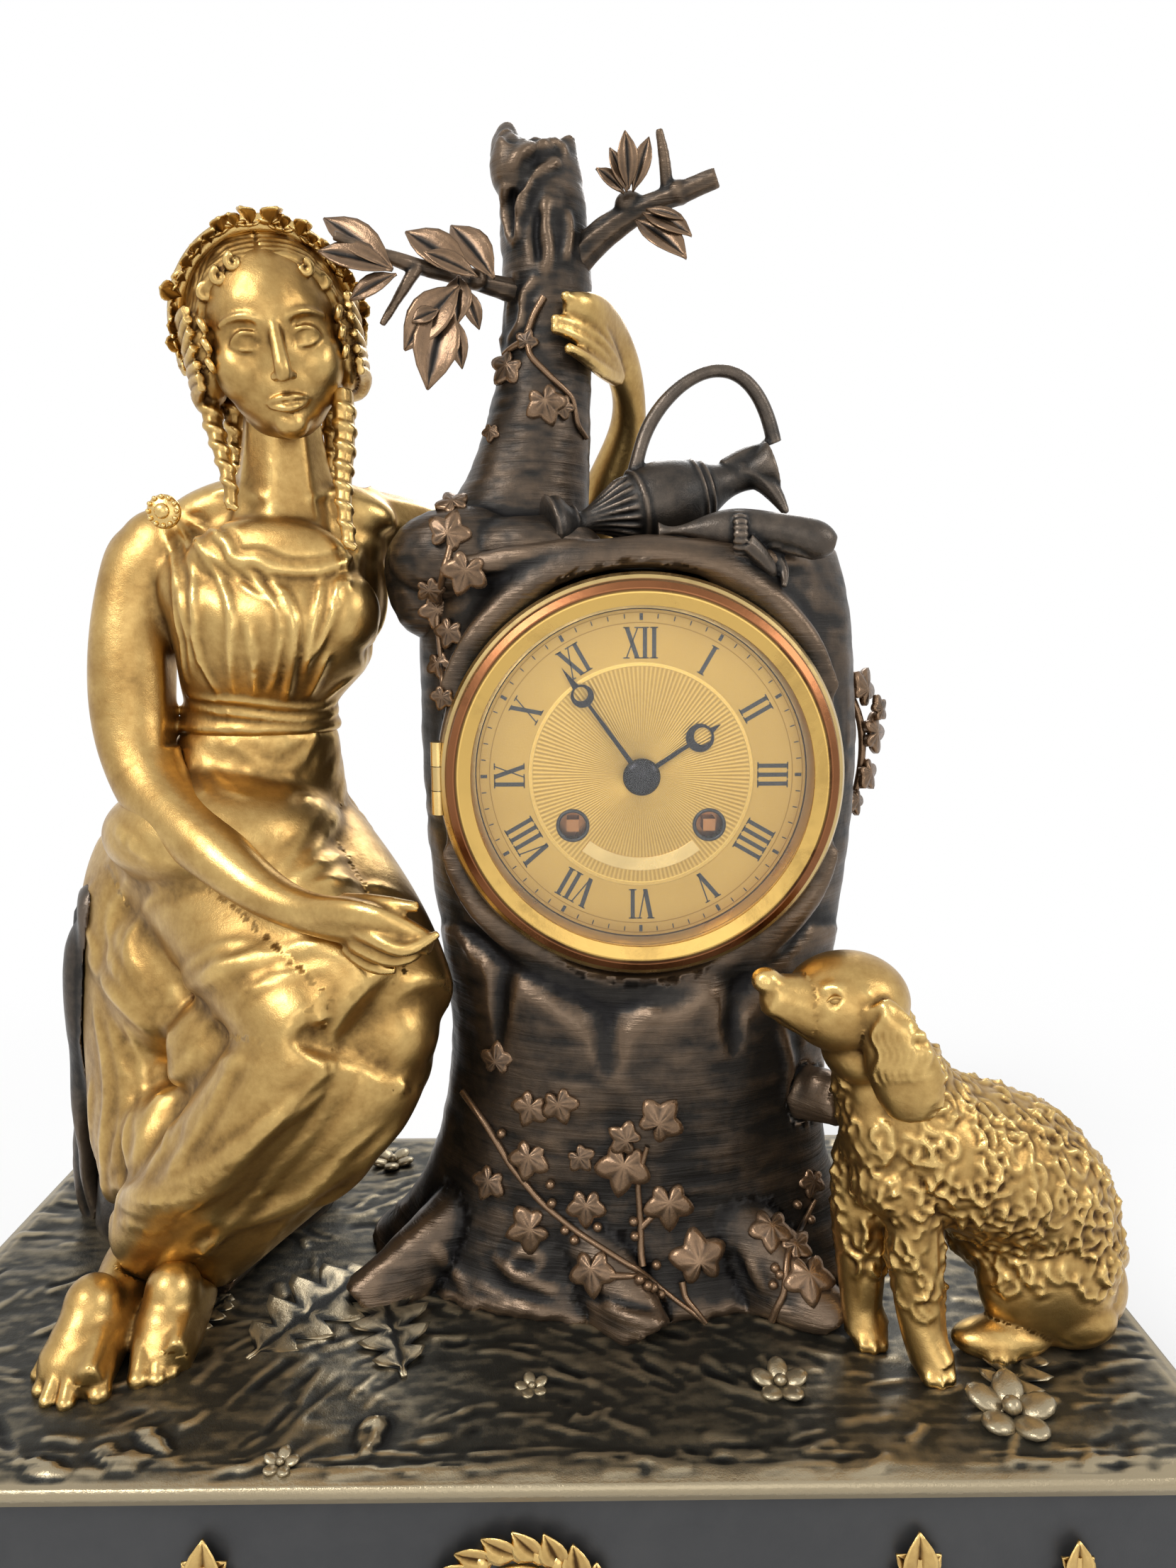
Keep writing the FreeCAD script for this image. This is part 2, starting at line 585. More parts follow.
def stump_leaf(x, z, long, wide):
    """An ivy leaf that lies on the stump's front, facing the way its bark faces there."""
    upper = next(k for k in range(1, len(STUMP_SHARES)) if STUMP_SHARES[k][0] >= z)
    low, high = STUMP_SHARES[upper - 1], STUMP_SHARES[upper]
    part = (z - low[0]) / (high[0] - low[0])
    mid_x, mid_y, half_x, half_y = (low[k] + (high[k] - low[k]) * part for k in range(1, 5))
    across = (x - mid_x) / half_x
    drop = math.sqrt(1 - across ** 2)
    facing = math.degrees(math.atan2(-drop / half_y, across / half_x)) + 90
    return blade((x, mid_y - half_y * drop, z), (long, IVY_THICKNESS_SHARE, wide * 0.98), Rotation(Vector(0, 0, 1), facing))


def above_ground(shape):
    """What is left of a casting above the plate."""
    reach = size("plate_width")
    return shape.cut(Part.makeBox(2 * reach, 2 * reach, reach, Vector(-reach, -reach, top_z - reach)))


def largest(shape):
    """The main solid of a casting, without crumbs that a cut leaves."""
    return max(shape.Solids, key=lambda solid: solid.Volume)


def beside(x, side, floor_share=0):
    """Everything to one side of an upright plane, from a height upwards."""
    reach = size("plate_width")
    corner = at(0, 0, floor_share)
    return Part.makeBox(reach, 2 * reach, reach, Vector(x if side > 0 else x - reach, -reach, corner.z))


def build_tree():
    """The hollow stump with its flat seats, the trunk above it, its branches and its ivy."""
    seat_y = size(CLOCK_Y) + size("flange_thickness - dial_set_back")
    collar = size("bezel_radius") + DRUM_SEAT_SHARE * unit
    cx, cz = size(CLOCK_X), size(CLOCK_Z)
    stump = column(STUMP_SHARES)
    stump = stump.fuse([cylinder_y(cx, cz, collar, seat_y, BOSS_DEPTH_SHARES[0] * unit),
                        cylinder_y(cx, cz, size(RING_RADIUS) + DRUM_SEAT_SHARE * unit, BOSS_DEPTH_SHARES[1] * unit, REAR_SEAT_Y)]
                       + [limb(row) for row in ROOT_SHARES] + [limb(STUB_SHARES)])
    outside = stump
    front_cut = cylinder_y(cx, cz, collar, seat_y - size("bezel_radius"), seat_y)
    rear_cut = cylinder_y(cx, cz, size(RING_RADIUS) + DRUM_SEAT_SHARE * unit, REAR_SEAT_Y, REAR_SEAT_Y + size("bezel_radius"))
    stump = stump.cut([front_cut, rear_cut])
    wall = size("stump_wall")
    hollow = column([(row[0], *row[1:]) for row in STUMP_SHARES], shrink=wall)
    roof = at(0, 0, STUMP_SHARES[-1][0]).z - wall
    reach = size("plate_width")
    hollow = hollow.cut(Part.makeBox(2 * reach, 2 * reach, reach, Vector(-reach, -reach, roof)))
    stump = stump.cut(hollow)
    lugs = []
    for x, y in LUG_SHARES:
        spot = at(x, y, 0)
        lugs.append(Part.makeCylinder(size("stud_radius") * 3.5, size("stud_bite") * 1.5, spot))
    stump = stump.fuse(lugs)
    bore = size("drum_radius") + size("pivot_clearance")
    stump = stump.cut([cylinder_y(cx, cz, bore, seat_y - overrun, at(0, BOSS_DEPTH_SHARES[1], 0).y),
                       cylinder_y(cx, cz, size(RING_RADIUS) - size("rear_ring_width") / 2, 0, REAR_SEAT_Y + overrun)])
    stump = above_ground(stump)
    for spot in LUG_SHARES:
        stump = stump.cut(stud_hole(spot))
    stump = largest(stump)
    feature("tree_stump", stump)
    trunk = largest(column(TRUNK_SHARES))
    feature("tree_trunk", trunk)
    sprays = []
    for branch_shares, leaf_shares in ((RIGHT_BRANCH_SHARES, RIGHT_LEAF_SHARES), (LEFT_BRANCH_SHARES, LEFT_LEAF_SHARES)):
        sprays.append(limb(branch_shares).fuse([leaf(*row) for row in leaf_shares]).cut(trunk))
    sprays += Part.makeCompound([stump_leaf(*row) for row in IVY_LEAF_SHARES]).cut(outside).Solids
    feature("branches_and_ivy", Part.makeCompound(sprays))
    handle = limb(HANDLE_SHARES, side=Vector(0, 1, 0))
    ewer = largest(limb(EWER_SHARES).fuse(handle).cut(stump).cut(trunk))
    feature("ewer", ewer)
    torch = largest(limb(TORCH_SHARES).cut(stump).cut(ewer))
    feature("torch", torch)
    return stump, trunk


def build_figure(trunk, stump):
    """The seated figure in its castings, the draped rock it sits on and the log at its feet."""
    skirt = limb(THIGH_SHARES[0]).fuse([limb(THIGH_SHARES[1]), limb(SHIN_SHARES[0]), limb(SHIN_SHARES[1]), egg(*PELVIS_SHARES),
                                          column(WAIST_SHARES), limb(LAP_SHARES), limb(FRONT_FOLD_SHARES),
                                          limb(SIDE_FOLD_SHARES)])
    skirt = largest(skirt)
    feature("figure_skirt", skirt)
    right_shoulder, left_shoulder = (at(x, 0, 0).x for x in SHOULDER_SHARES)
    bodice = largest(column(BODICE_SHARES).cut([beside(right_shoulder, -1), beside(left_shoulder, 1)]))
    feature("figure_bodice", bodice)
    neck = column(NECK_SHARES)
    head = largest(neck.fuse(egg(*FACE_SHARES)))
    feature("figure_head", head)
    hair = largest(egg(*HAIR_SHARES).fuse([limb(row) for row in CURL_SHARES]).cut(head).cut(bodice))
    feature("figure_hair", hair)
    centre, major, minor = WREATH_SHARES
    wreath = Part.makeTorus(major * unit, minor * unit, at(*centre), Vector(-0.15, -0.35, 1))
    feature("hair_wreath", largest(wreath.cut(head).cut(hair)))
    right = largest(limb(RIGHT_ARM_SHARES).cut(beside(right_shoulder, 1, SHOULDER_FLOOR_SHARE)).cut(skirt))
    feature("right_arm", right)
    left = largest(limb(LEFT_ARM_SHARES).cut(beside(left_shoulder, -1)).cut(trunk))
    feature("left_arm", left)
    feet = [largest(above_ground(limb(row).cut(skirt))) for row in FOOT_SHARES]
    feature("figure_feet", Part.makeCompound(feet))
    seat = column(SEAT_SHARES).cut(skirt)
    seat = seat.cut([stud_hole(spot) for spot in STUD_PLACES[:2]])
    seat = largest(above_ground(seat))
    feature("seat_rock", seat)
    drape = largest(above_ground(limb(DRAPE_SHARES).cut(seat).cut(skirt)))
    feature("seat_drapery", drape)
    log = limb(LOG_SHARES).cut(seat).cut(skirt).cut(feet)
    feature("fallen_log", largest(above_ground(log)))


def build_dog():
    """The seated dog: body with its legs, head, and tail."""
    body = limb(DOG_BODY_SHARES).fuse([limb(row) for row in DOG_LEG_SHARES] + [egg(*row) for row in DOG_HAUNCH_SHARES]
                                      + [limb(DOG_TAIL_SHARES)])
    body = largest(above_ground(body).cut(stud_hole(STUD_PLACES[2])))
    feature("dog_body", body)
    head = egg(*DOG_HEAD_SHARES).fuse([limb(MUZZLE_SHARES)] + [limb(row) for row in EAR_SHARES])
    feature("dog_head", largest(head.cut(body)))


# the clock's own frame: origin at the middle of the dial's front, x right, y up, z towards the viewer
CLOCK_X = "sculpture_module * 0.348"
CLOCK_Y = "bezel_depth + door_gap + dial_set_back - sculpture_module * 0.3"
CLOCK_Z = f"{PLATE_TOP} + sculpture_module * 1.7"
CLOCK_TURN = Rotation(Vector(1, 0, 0), 90)
CLOCK = Placement(Vector(size(CLOCK_X), size(CLOCK_Y), size(CLOCK_Z)), CLOCK_TURN)
REAR_SEAT_Y = size("sculpture_module * 0.52")

DRUM_BORE = "(drum_radius - drum_wall)"
DISC_RADIUS = "(drum_radius - drum_wall - drum_clearance)"
RING_RADIUS = "(rear_door_radius + hinge_knuckle_radius)"
PLATE_FRONT = "(dial_thickness + motion_gap)"
INSIDE_FRONT = "(dial_thickness + motion_gap + movement_plate_thickness)"
INSIDE_BACK = "(dial_thickness + motion_gap + movement_plate_thickness + movement_width)"
BEHIND_PLATE = "(dial_thickness + motion_gap + 2 * movement_plate_thickness + movement_width)"
rear_depth = REAR_SEAT_Y - size(CLOCK_Y)


def in_clock(thing):
    """Places a sub-part that was made in the clock's own frame."""
    return place_at(thing, CLOCK_X, CLOCK_Y, CLOCK_Z, CLOCK_TURN)


def clock_piece(label, shape):
    """A worked-out shape that was made in the clock's own frame."""
    return in_clock(feature(label, shape))


def disc(radius, front, thick, x=0.0, y=0.0):
    """A round piece in the clock's frame, from its front face backwards."""
    return Part.makeCylinder(radius, thick, Vector(x, y, -front - thick))


def tube(outer, inner, front, thick, x=0.0, y=0.0):
    """A round piece with a bore."""
    return disc(outer, front, thick, x, y).cut(disc(inner, front - overrun, thick + 2 * overrun, x, y))


def prism(points, front, thick):
    """A flat piece cut to an outline of (x, y) points, from its front face backwards."""
    places = [Vector(x, y, -front - thick) for x, y in points]
    return Part.Face(Part.makePolygon(places + places[:1])).extrude(Vector(0, 0, thick))


# tooth outline as shares of the angle from tooth to tooth, and of the module
TOOTH_SHARES = ((-0.23, -1.1), (-0.09, 0.75), (0.09, 0.75), (0.23, -1.1))


def gear(teeth, module, spot, phase, front, thick):
    """A toothed wheel or pinion with one tooth at the phase angle."""
    step = 2 * math.pi / teeth
    points = []
    for tooth in range(teeth):
        for turn_share, height_share in TOOTH_SHARES:
            angle = phase + (tooth + turn_share) * step
            radius = module * (teeth / 2 + height_share)
            points.append((spot[0] + radius * math.cos(angle), spot[1] + radius * math.sin(angle)))
    return prism(points, front, thick)


def from_spot(spot, distance, angle):
    """The place at a distance and an angle from another."""
    return (spot[0] + distance * math.cos(angle), spot[1] + distance * math.sin(angle))


def mesh_phase(angle, teeth):
    """The phase that puts a gap where the other wheel, lying at that angle, has a tooth."""
    return angle + math.pi / teeth


# tooth counts, the same as the ratios of the joints
GREAT_TEETH, CENTRE_LEAVES = 84, 12
CENTRE_TEETH, THIRD_LEAVES = 72, 9
THIRD_TEETH, ESCAPE_LEAVES = 80, 10
PIN_TEETH, FLY_LEAVES = 60, 10
CANNON_LEAVES, MINUTE_TEETH = 12, 36
MINUTE_LEAVES, HOUR_TEETH = 10, 40
ESCAPE_TEETH = 30

# where the arbors stand: each lies at its gears' distance from the one before
GREAT_DISTANCE = size("great_module") * (GREAT_TEETH + CENTRE_LEAVES) / 2
THIRD_DISTANCE = size("centre_module") * (CENTRE_TEETH + THIRD_LEAVES) / 2
ESCAPE_DISTANCE = size("third_module") * (THIRD_TEETH + ESCAPE_LEAVES) / 2
FLY_DISTANCE = size("strike_module") * (PIN_TEETH + FLY_LEAVES) / 2
MOTION_DISTANCE = size("motion_module") * (CANNON_LEAVES + MINUTE_TEETH) / 2
GOING_ANGLE = math.radians(216.3)
STRIKE_ANGLE = math.radians(323.7)
THIRD_ANGLE = math.radians(120)
PIN_ANGLE = math.radians(109)
FLY_ANGLE = math.radians(45)
centre_spot = (0.0, 0.0)
going_spot = from_spot(centre_spot, GREAT_DISTANCE, GOING_ANGLE)
strike_spot = from_spot(centre_spot, GREAT_DISTANCE, STRIKE_ANGLE)
third_spot = from_spot(centre_spot, THIRD_DISTANCE, THIRD_ANGLE)
ESCAPE_ANGLE = math.acos(-third_spot[0] / ESCAPE_DISTANCE)
escape_spot = from_spot(third_spot, ESCAPE_DISTANCE, ESCAPE_ANGLE)
anchor_spot = (0.0, escape_spot[1] + size("escape_radius") * 1.35)
pin_spot = from_spot(strike_spot, GREAT_DISTANCE, PIN_ANGLE)
fly_spot = from_spot(pin_spot, FLY_DISTANCE, FLY_ANGLE)
hammer_spot = (pin_spot[0] + size("arbor_radius"), pin_spot[1] + size("strike_module") * PIN_TEETH * 0.84)
minute_spot = (0.0, -MOTION_DISTANCE)
bell_spot = (size("back_plate_radius") * 0.61, 0.0)


def level(share):
    """The depth of a wheel between the plates, as a share of the space between them."""
    return size(INSIDE_FRONT) + size("movement_width") * share


def build_case():
    """The drum with its flange, the dial, the glazed bezel, the rear ring and its door."""
    gap, clear = size("door_gap"), size("casting_gap")
    set_back, flange = size("dial_set_back"), size("flange_thickness")
    drum_bore, ring = size(DRUM_BORE), size(RING_RADIUS)
    bezel_back = set_back + gap
    knuckle, knuckle_length = size("hinge_knuckle_radius"), size("hinge_knuckle_length")
    pin, pin_hole = size("hinge_pin_radius"), size("hinge_pin_radius + hinge_fit")
    flange_radius = size("bezel_radius - bezel_lip / 3")

    # the bezel's hinge stands at its left edge, just in front of the flange
    hinge_x = -size("bezel_radius") - gap
    hinge_z = bezel_back + knuckle

    def upright(radius, low, high, x=hinge_x, z=hinge_z):
        return Part.makeCylinder(radius, high - low, Vector(x, low, z), Vector(0, 1, 0))

    half = knuckle_length / 2
    outer = half + gap + knuckle_length
    spans = ((half + gap, outer), (-outer, -half - gap))
    drum = tube(size("drum_radius"), drum_bore, -set_back, size("drum_depth"))
    drum = drum.fuse(tube(flange_radius, drum_bore, -set_back, flange))
    for low, high in spans:
        leaf = box_between(Vector(hinge_x - knuckle / 2, low, set_back - flange), Vector(hinge_x + knuckle / 2, high, hinge_z))
        foot = box_between(Vector(hinge_x - knuckle / 2, low, set_back - flange), Vector(hinge_x + knuckle * 2, high, set_back))
        drum = drum.fuse([upright(knuckle, low, high), leaf, foot])
        drum = drum.cut(upright(pin_hole, low - overrun, high + overrun))
    clock_piece("dial_drum", drum.removeSplitter())

    # bezel: an ogee section turned round the dial's axis, heights from its back
    body = new_body("bezel_ring")
    sketch = sketch_on(body, "bezel_section", "XZ_Plane")
    glass_radius = "(bezel_radius - bezel_rim)"
    sight = "(bezel_radius - bezel_rim - glass_seat)"
    lip_back = "(bezel_depth - bezel_lip)"
    add_outline(sketch, [
        (glass_radius, "0"),
        ("bezel_radius", "0"),
        ("bezel_radius", "bezel_depth * 0.35"),
        ("bezel_radius - bezel_rim * 0.15", "bezel_depth * 0.55"),
        ("bezel_radius - bezel_rim * 0.35", "bezel_depth * 0.65"),
        ("bezel_radius - bezel_rim * 0.45", "bezel_depth * 0.9"),
        ("bezel_radius - bezel_rim * 0.75", "bezel_depth"),
        (glass_radius, "bezel_depth"),
        (sight, f"{lip_back} + bezel_lip * 0.4"),
        (sight, lip_back),
        (glass_radius, lip_back),
    ])
    turn = body.newObject("PartDesign::Revolution", "bezel_turn")
    turn.Profile = sketch
    turn.ReferenceAxis = (sketch, ["V_Axis"])
    turn.Angle = 360
    body.Tip = turn
    doc.recompute()
    bezel = body.Shape.translated(Vector(0, 0, bezel_back))
    for low, high in spans:
        bezel = bezel.cut(upright(knuckle + clear, low - gap, high + gap))
    bezel = bezel.fuse(upright(knuckle, -half, half))
    bezel = bezel.cut(upright(pin_hole, -outer, outer))
    clock_piece("bezel", bezel.removeSplitter())
    glass_front = bezel_back + size(f"{lip_back}")
    glass = disc(size(glass_radius), -glass_front, size("glass_thickness"))
    clock_piece("bezel_glass", glass)
    rest = glass_front - size("glass_thickness") - bezel_back
    clock_piece("glass_ring", tube(size(glass_radius), size(glass_radius) - size("drum_wall"), -bezel_back - rest, rest))

    # dial, with its holes and its three feet
    hour_hole = size("hour_pipe_radius") + set_back
    winding_hole = size("winding_arbor_radius + winding_hole_gap")
    dial_radius, dial = size(DISC_RADIUS), size("dial_thickness")
    plate = disc(dial_radius, 0, dial).cut(disc(hour_hole, -overrun, dial + 2 * overrun))
    for spot in (going_spot, strike_spot):
        plate = plate.cut(disc(winding_hole, -overrun, dial + 2 * overrun, *spot))
    for turn_number in range(3):
        spot = from_spot(centre_spot, dial_radius * 0.88, math.radians(90 + 120 * turn_number))
        plate = plate.fuse(disc(size("dial_foot_radius"), dial, size("motion_gap"), *spot))
    clock_piece("dial_plate", plate)

    # rear ring on the stump's flat seat, with straps that hold the movement, and the door on its hinge
    thick, door, door_radius = size("rear_ring_thickness"), size("rear_door_thickness"), size("rear_door_radius")
    back_x, back_z = -ring, -rear_depth - thick - gap - door / 2
    rear = tube(ring, ring - size("rear_ring_width"), rear_depth, thick)
    rear = rear.cut(upright(knuckle + clear, -half - gap, half + gap, back_x, back_z))
    for low, high in spans:
        leaf = box_between(Vector(back_x, low, back_z), Vector(back_x + knuckle / 2, high, -rear_depth))
        rear = rear.fuse([upright(knuckle, low, high, back_x, back_z), leaf])
        rear = rear.cut(upright(pin_hole, low - overrun, high + overrun, back_x, back_z))
    strap = size("drum_wall")
    strap_x = dial_radius - 2 * strap - clear
    strap_half = size("hinge_knuckle_length / 2")
    bars = [rear.removeSplitter()]
    for side in (-1, 1):
        low, high = sorted((side * strap_x, side * (strap_x - strap)))
        bars.append(box_between(Vector(low, -strap_half, -rear_depth), Vector(high, strap_half, -size(INSIDE_FRONT))))
    clock_piece("rear_ring", Part.makeCompound(bars))
    lid = disc(door_radius, rear_depth + thick + gap, door)
    knob = disc(size("pillar_radius"), rear_depth + thick + gap + door, size("bell_depth") / 2, door_radius * 0.86, 0)
    arm = box_between(Vector(back_x, -half, back_z - door / 2), Vector(back_x + knuckle * 2, half, back_z + door / 2))
    lid = lid.fuse([arm, upright(knuckle, -half, half, back_x, back_z), knob])
    for low, high in spans:
        lid = lid.cut(upright(knuckle + clear, low - gap, high + gap, back_x, back_z))
    lid = lid.cut(upright(pin_hole, -outer, outer, back_x, back_z))
    clock_piece("rear_door", lid.removeSplitter())
    pins = [upright(pin, -outer, outer), upright(pin, -outer, outer, back_x, back_z)]
    clock_piece("hinge_pins", Part.makeCompound(pins))


def arbor(spot, start, end, radius=None):
    """A plain round arbor between two depths behind the dial's front."""
    return disc(radius or size("arbor_radius"), start, end - start, *spot)


def build_movement():
    """Plates and pillars, the two trains, the motion work, the pendulum, the hammer and the bell."""
    radius, fit = size("arbor_radius"), size("pivot_clearance")
    thick, wheel = size("movement_plate_thickness"), size("wheel_thickness")
    leaf = size("pinion_length")
    front, back = size(INSIDE_FRONT), size(INSIDE_BACK)
    behind = size(BEHIND_PLATE)
    wind = size("winding_arbor_radius")
    through = [centre_spot, third_spot, escape_spot, anchor_spot, pin_spot, fly_spot, hammer_spot]

    pillars = []
    circle = size("back_plate_radius - pillar_inset")
    for angle in (18, 62, 118, 162, 270):
        spot = from_spot(centre_spot, circle, math.radians(angle))
        pillars.append(arbor(spot, front, back, size("pillar_radius")))
    plate = disc(size(DISC_RADIUS), front - thick, thick)
    for spot in through:
        plate = plate.cut(arbor(spot, front - thick - overrun, front + overrun, radius + fit))
    for spot in (going_spot, strike_spot):
        plate = plate.cut(arbor(spot, front - thick - overrun, front + overrun, wind + fit))
    studs = pillars + [arbor(minute_spot, size("dial_thickness + dial_set_back"), front - thick)]
    rear = disc(size("back_plate_radius"), back, thick)
    for spot in through + [going_spot]:
        rear = rear.cut(arbor(spot, back - overrun, behind + overrun, radius + fit))
    rear = rear.cut(arbor(strike_spot, back - overrun, behind + overrun, radius * 1.9 + fit))
    clock_piece("back_plate", rear)

    # barrels with their great wheels, on winding arbors with a square at the dial
    drum, length, wall = size("barrel_radius"), size("barrel_length"), size("bell_wall")
    great = size("great_module")
    facing = {}
    for name, spot, angle, start_share, wheel_first in (
            ("going_barrel", going_spot, GOING_ANGLE, 0.1, True),
            ("strike_barrel", strike_spot, PIN_ANGLE, 0.32, False)):
        start = level(start_share)
        case = disc(drum, start, length, *spot).cut(disc(drum - wall, start + wall, length - 2 * wall, *spot))
        case = case.cut(arbor(spot, front - overrun, behind, wind + fit))
        wheel_start = start - wheel if wheel_first else start + length
        phase = angle + math.pi if wheel_first else angle
        great_wheel = gear(GREAT_TEETH, great, spot, phase, wheel_start, wheel)
        thick_end, rear_end = back - radius, behind
        if wheel_first:
            great_wheel = great_wheel.cut(arbor(spot, front - overrun, behind, wind + fit))
        else:
            thick_end, rear_end = wheel_start - fit, behind + 3 * wheel
            pipe = arbor(spot, wheel_start, behind + 2 * wheel, radius * 1.9)
            great_wheel = great_wheel.fuse(pipe).cut(arbor(spot, front, rear_end, radius + fit))
        case = case.fuse(great_wheel)
        clock_piece(name, case.removeSplitter())
        facing[name] = wheel_start
        shaft = arbor(spot, front - thick - wheel - fit, thick_end, wind)
        shaft = shaft.fuse(arbor(spot, thick_end - fit, rear_end))
        half = wind / math.sqrt(2)
        x, y = spot
        square = [(x - half, y - half), (x + half, y - half), (x + half, y + half), (x - half, y + half)]
        shaft = shaft.fuse(prism(square, 0, front - thick - wheel - fit))
        ratchet = gear(20, size("ratchet_radius") / 10.75, spot, 0, front - thick - wheel - fit * 4, wheel)
        clock_piece(name.replace("barrel", "winding_arbor"), shaft.fuse(ratchet).removeSplitter())
        side = -1 if wheel_first else 1
        reach, tip = size("click_length"), size("ratchet_radius") + fit * 4
        click_front = front - thick - wheel - fit * 4
        pivot = (x + side * reach, y + tip + radius)
        bar = prism([(x, y + tip), (x, y + tip + radius), (pivot[0], pivot[1] + radius), (pivot[0], pivot[1] - radius)],
                    click_front, wheel)
        bar = bar.fuse(arbor(pivot, click_front, click_front + wheel, radius * 1.6))
        bar = bar.cut(arbor(pivot, click_front - overrun, front, radius * 0.8 + fit))
        clock_piece(name.replace("barrel", "click"), bar)
        studs.append(arbor(pivot, click_front, front - thick, radius * 0.8))
    clock_piece("front_plate", plate.fuse(studs).removeSplitter())

    # centre, third and escape wheels
    def wheel_on(label, spot, teeth, module, wheel_angle, wheel_front, leaves, pinion_module, leaf_angle, leaf_front,
                 start=front - thick, end=behind, leaf_length=leaf):
        shape = gear(teeth, module, spot, wheel_angle, wheel_front, wheel)
        shape = shape.fuse(gear(leaves, pinion_module, spot, leaf_angle, leaf_front, leaf_length))
        shape = shape.fuse(arbor(spot, start, end))
        clock_piece(label, shape.removeSplitter())

    centre_front, third_front, escape_front = level(0.87), level(0.47), level(0.2)
    going_front, strike_front = facing["going_barrel"], facing["strike_barrel"]
    wheel_on("centre_wheel", centre_spot, CENTRE_TEETH, size("centre_module"), THIRD_ANGLE, centre_front,
             CENTRE_LEAVES, great, mesh_phase(GOING_ANGLE, CENTRE_LEAVES), going_front - (leaf - wheel) / 2,
             start=-size("dial_set_back"))
    wheel_on("third_wheel", third_spot, THIRD_TEETH, size("third_module"), ESCAPE_ANGLE, third_front,
             THIRD_LEAVES, size("centre_module"), mesh_phase(THIRD_ANGLE + math.pi, THIRD_LEAVES),
             centre_front - (leaf - wheel) / 2)
    escape_teeth = []
    tip, root = size("escape_radius"), size("escape_radius") * 0.82
    for tooth in range(ESCAPE_TEETH):
        step = 2 * math.pi / ESCAPE_TEETH
        escape_teeth.append(from_spot(escape_spot, tip, tooth * step))
        escape_teeth.append(from_spot(escape_spot, root, (tooth + 0.12) * step))
        escape_teeth.append(from_spot(escape_spot, root, (tooth + 0.6) * step))
    shape = prism(escape_teeth, escape_front, wheel)
    shape = shape.fuse(gear(ESCAPE_LEAVES, size("third_module"), escape_spot,
                            mesh_phase(ESCAPE_ANGLE + math.pi, ESCAPE_LEAVES), third_front - (leaf - wheel) / 2, leaf))
    clock_piece("escape_wheel", shape.fuse(arbor(escape_spot, front - thick, behind)).removeSplitter())

    # strike train: pin wheel and fly
    pin_front = level(0.2)
    shape = gear(PIN_TEETH, size("strike_module"), pin_spot, FLY_ANGLE, pin_front, wheel)
    shape = shape.fuse(gear(CENTRE_LEAVES, great, pin_spot, mesh_phase(PIN_ANGLE + math.pi, CENTRE_LEAVES),
                            strike_front - (leaf - wheel) / 2, leaf))
    for number in range(10):
        spot = from_spot(pin_spot, size("strike_module") * PIN_TEETH * 0.4, 2 * math.pi * number / 10)
        shape = shape.fuse(disc(radius / 2, pin_front + wheel, wheel, *spot))
    clock_piece("pin_wheel", shape.fuse(arbor(pin_spot, front - thick, behind)).removeSplitter())
    shape = gear(FLY_LEAVES, size("strike_module"), fly_spot, mesh_phase(FLY_ANGLE + math.pi, FLY_LEAVES),
                 pin_front - (leaf - wheel) / 2, leaf).fuse(arbor(fly_spot, front - thick, behind))
    blade = size("back_plate_radius") * 0.125
    x, y = fly_spot
    sail = [(x - blade, y - fit * 5), (x + blade, y - fit * 5), (x + blade, y + fit * 5), (x - blade, y + fit * 5)]
    clock_piece("strike_fly", shape.fuse(prism(sail, level(0.5), size("movement_width") * 0.25)).removeSplitter())

    # motion work: cannon pinion, minute wheel with its pinion, hour wheel on its pipe, and the hands
    module = size("motion_module")
    below = -math.pi / 2
    hands_front = size("dial_set_back") + size("hand_thickness")
    cannon_front, cannon_end = size("dial_thickness") + size("motion_gap") * 0.4, front - thick - radius
    pipe = size("cannon_pipe_radius")
    minute_front = hands_front + size("hand_thickness") + size("cap_height") * 0.55
    shape = gear(CANNON_LEAVES, module, centre_spot, below, cannon_front, cannon_end - cannon_front)
    shape = shape.fuse(arbor(centre_spot, -minute_front, cannon_end, pipe))
    shape = shape.cut(arbor(centre_spot, -hands_front, front, radius + fit))
    clock_piece("cannon_pinion", shape.removeSplitter())
    minute_level = size("dial_thickness") + size("motion_gap") * 0.48
    hour_level = size("dial_thickness") + size("motion_gap") * 0.12
    motion_small = MOTION_DISTANCE * 2 / (MINUTE_LEAVES + HOUR_TEETH)
    shape = gear(MINUTE_TEETH, module, minute_spot, mesh_phase(below + math.pi, MINUTE_TEETH), minute_level, wheel)
    shape = shape.fuse(gear(MINUTE_LEAVES, motion_small, minute_spot, below + math.pi, hour_level, minute_level - hour_level))
    shape = shape.cut(arbor(minute_spot, -overrun, front, radius + fit))
    clock_piece("minute_wheel", shape.removeSplitter())
    hour_pipe = size("hour_pipe_radius")
    shape = gear(HOUR_TEETH, motion_small, centre_spot, mesh_phase(below, HOUR_TEETH), hour_level, wheel)
    shape = shape.fuse(arbor(centre_spot, -hands_front, hour_level + wheel, hour_pipe))
    shape = shape.cut(arbor(centre_spot, -hands_front - overrun, front, pipe + fit))
    clock_piece("hour_wheel", shape.removeSplitter())

